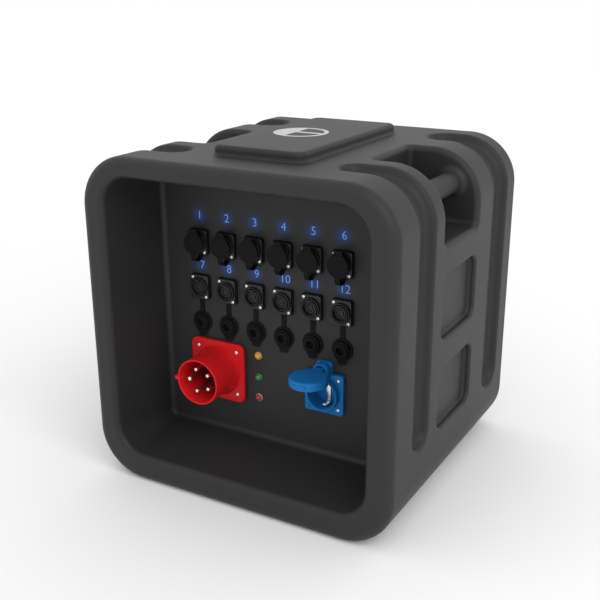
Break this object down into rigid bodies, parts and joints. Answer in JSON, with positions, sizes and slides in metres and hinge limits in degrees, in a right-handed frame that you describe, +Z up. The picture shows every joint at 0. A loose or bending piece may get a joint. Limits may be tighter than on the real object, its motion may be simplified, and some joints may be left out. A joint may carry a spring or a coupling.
{
  "type": "portable power distribution box",
  "caption": "Portable power distribution box: a rounded grey moulded case with side handles and a recessed panel of capped outlets, a red mains inlet, signal lamps and a lidded blue socket.",
  "frame": {"origin": "centre of the case's underside, in its bounding box", "axes": "+Z up, +X to the right as the panel is faced, the panel faces -Y"},
  "size_m": [0.406, 0.378, 0.421],
  "materials": {
    "case": "fine moulded grain, satin",
    "cover": "satin",
    "connector_black": "satin",
    "cap_rubber": "matt",
    "inlet_red": "semi-gloss",
    "socket_blue": "semi-gloss",
    "plated_brass": "nickel plated, bright",
    "zinc_steel": "zinc plated",
    "lamp_amber": "translucent lens",
    "lamp_green": "translucent lens",
    "lamp_red": "translucent lens"
  },
  "bodies": {
    "box": {"case_shell": "case", "rear_cover": "cover", "rear_cover_screw_1": "zinc_steel", "rear_cover_screw_2": "zinc_steel", "rear_cover_screw_3": "zinc_steel", "rear_cover_screw_4": "zinc_steel", "outlet_01": "connector_black", "outlet_02": "connector_black", "outlet_03": "connector_black", "outlet_04": "connector_black", "outlet_05": "connector_black", "outlet_06": "connector_black", "outlet_07": "connector_black", "outlet_08": "connector_black", "outlet_09": "connector_black", "outlet_10": "connector_black", "outlet_11": "connector_black", "outlet_12": "connector_black", "cap_gasket_01": "cap_rubber", "cap_gasket_02": "cap_rubber", "cap_gasket_03": "cap_rubber", "cap_gasket_04": "cap_rubber", "cap_gasket_05": "cap_rubber", "cap_gasket_06": "cap_rubber", "cap_gasket_07": "cap_rubber", "cap_gasket_08": "cap_rubber", "cap_gasket_09": "cap_rubber", "cap_gasket_10": "cap_rubber", "cap_gasket_11": "cap_rubber", "cap_gasket_12": "cap_rubber", "inlet_housing": "inlet_red", "inlet_gasket": "cap_rubber", "inlet_pin_1": "plated_brass", "inlet_pin_2": "plated_brass", "inlet_pin_3": "plated_brass", "inlet_pin_4": "plated_brass", "inlet_pin_5": "plated_brass", "lamp_amber": "lamp_amber", "lamp_green": "lamp_green", "lamp_red": "lamp_red", "socket_housing": "socket_blue", "lid_pin": "zinc_steel", "earth_clip": "zinc_steel", "terminal_block": "cover", "earth_bar": "plated_brass"},
    "cap_01": {"cap_01": "cap_rubber"},
    "cap_02": {"cap_02": "cap_rubber"},
    "cap_03": {"cap_03": "cap_rubber"},
    "cap_04": {"cap_04": "cap_rubber"},
    "cap_05": {"cap_05": "cap_rubber"},
    "cap_06": {"cap_06": "cap_rubber"},
    "cap_07": {"cap_07": "cap_rubber"},
    "cap_08": {"cap_08": "cap_rubber"},
    "cap_09": {"cap_09": "cap_rubber"},
    "cap_10": {"cap_10": "cap_rubber"},
    "cap_11": {"cap_11": "cap_rubber"},
    "cap_12": {"cap_12": "cap_rubber"},
    "socket_lid": {"socket_lid": "socket_blue"}
  },
  "joints": [
    {"name": "cap_01_strap", "type": "hinge", "parent": "box", "child": "cap_01", "pos_m": [-0.1045, -0.0972, 0.27], "axis": [1, 0, 0], "range_deg": [0, 120]},
    {"name": "cap_02_strap", "type": "hinge", "parent": "box", "child": "cap_02", "pos_m": [-0.0649, -0.0972, 0.27], "axis": [1, 0, 0], "range_deg": [0, 120]},
    {"name": "cap_03_strap", "type": "hinge", "parent": "box", "child": "cap_03", "pos_m": [-0.0253, -0.0972, 0.27], "axis": [1, 0, 0], "range_deg": [0, 120]},
    {"name": "cap_04_strap", "type": "hinge", "parent": "box", "child": "cap_04", "pos_m": [0.0143, -0.0972, 0.27], "axis": [1, 0, 0], "range_deg": [0, 120]},
    {"name": "cap_05_strap", "type": "hinge", "parent": "box", "child": "cap_05", "pos_m": [0.0539, -0.0972, 0.27], "axis": [1, 0, 0], "range_deg": [0, 120]},
    {"name": "cap_06_strap", "type": "hinge", "parent": "box", "child": "cap_06", "pos_m": [0.0935, -0.0972, 0.27], "axis": [1, 0, 0], "range_deg": [0, 120]},
    {"name": "cap_07_strap", "type": "hinge", "parent": "box", "child": "cap_07", "pos_m": [-0.1045, -0.0972, 0.2121], "axis": [1, 0, 0], "range_deg": [-180, 0]},
    {"name": "cap_08_strap", "type": "hinge", "parent": "box", "child": "cap_08", "pos_m": [-0.0649, -0.0972, 0.2121], "axis": [1, 0, 0], "range_deg": [-180, 0]},
    {"name": "cap_09_strap", "type": "hinge", "parent": "box", "child": "cap_09", "pos_m": [-0.0253, -0.0972, 0.2121], "axis": [1, 0, 0], "range_deg": [-180, 0]},
    {"name": "cap_10_strap", "type": "hinge", "parent": "box", "child": "cap_10", "pos_m": [0.0143, -0.0972, 0.2121], "axis": [1, 0, 0], "range_deg": [-180, 0]},
    {"name": "cap_11_strap", "type": "hinge", "parent": "box", "child": "cap_11", "pos_m": [0.0539, -0.0972, 0.2121], "axis": [1, 0, 0], "range_deg": [-180, 0]},
    {"name": "cap_12_strap", "type": "hinge", "parent": "box", "child": "cap_12", "pos_m": [0.0935, -0.0972, 0.2121], "axis": [1, 0, 0], "range_deg": [-180, 0]},
    {"name": "socket_lid_hinge", "type": "hinge", "parent": "box", "child": "socket_lid", "pos_m": [0.0715, -0.1002, 0.1614], "axis": [1, 0, 0], "range_deg": [0, 90]}
  ]
}
